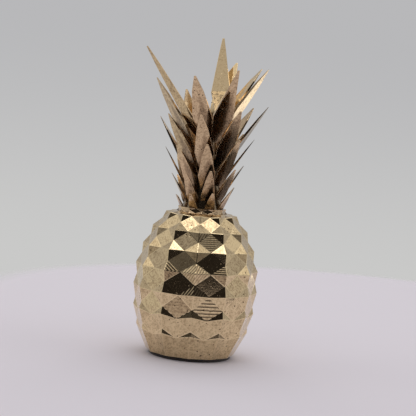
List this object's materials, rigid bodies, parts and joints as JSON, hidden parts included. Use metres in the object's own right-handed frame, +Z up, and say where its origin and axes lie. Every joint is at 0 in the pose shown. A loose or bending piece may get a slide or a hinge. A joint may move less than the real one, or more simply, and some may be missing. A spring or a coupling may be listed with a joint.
{
  "type": "pineapple figurine",
  "caption": "Small faceted metal pineapple ornament: lattice-cut body on a felt pad, crown of pointed leaves on a stem screwed into the body.",
  "frame": {"origin": "centre of the resting face under the felt pad", "axes": "+Z up along the body's axis, -Y towards the viewer of the picture, +X to the viewer's right"},
  "size_m": [0.0303, 0.029, 0.0748],
  "materials": {
    "body_brass": "satin machined facets",
    "leaf_brass": "satin, slightly speckled",
    "felt": "dark felt",
    "stud_steel": "plain turned steel"
  },
  "bodies": {
    "root": {"body": "body_brass", "base_pad": "felt", "crown_collar": "body_brass", "crown_stem": "leaf_brass", "crown_stud": "stud_steel", "leaf_01": "leaf_brass", "leaf_02": "leaf_brass", "leaf_03": "leaf_brass", "leaf_04": "leaf_brass", "leaf_05": "leaf_brass", "leaf_06": "leaf_brass", "leaf_07": "leaf_brass", "leaf_08": "leaf_brass", "leaf_09": "leaf_brass", "leaf_10": "leaf_brass", "leaf_11": "leaf_brass", "leaf_12": "leaf_brass", "leaf_13": "leaf_brass", "leaf_14": "leaf_brass", "leaf_15": "leaf_brass", "leaf_16": "leaf_brass", "leaf_17": "leaf_brass", "leaf_18": "leaf_brass", "leaf_19": "leaf_brass", "leaf_20": "leaf_brass", "leaf_21": "leaf_brass", "leaf_22": "leaf_brass", "leaf_23": "leaf_brass", "leaf_24": "leaf_brass", "leaf_25": "leaf_brass", "leaf_26": "leaf_brass", "leaf_27": "leaf_brass", "leaf_28": "leaf_brass", "leaf_29": "leaf_brass", "leaf_30": "leaf_brass", "leaf_31": "leaf_brass", "leaf_32": "leaf_brass", "leaf_33": "leaf_brass", "leaf_34": "leaf_brass", "leaf_35": "leaf_brass", "leaf_36": "leaf_brass", "leaf_37": "leaf_brass", "leaf_38": "leaf_brass", "leaf_39": "leaf_brass", "leaf_40": "leaf_brass", "leaf_41": "leaf_brass", "leaf_42": "leaf_brass", "leaf_43": "leaf_brass", "leaf_44": "leaf_brass"}
  },
  "joints": []
}
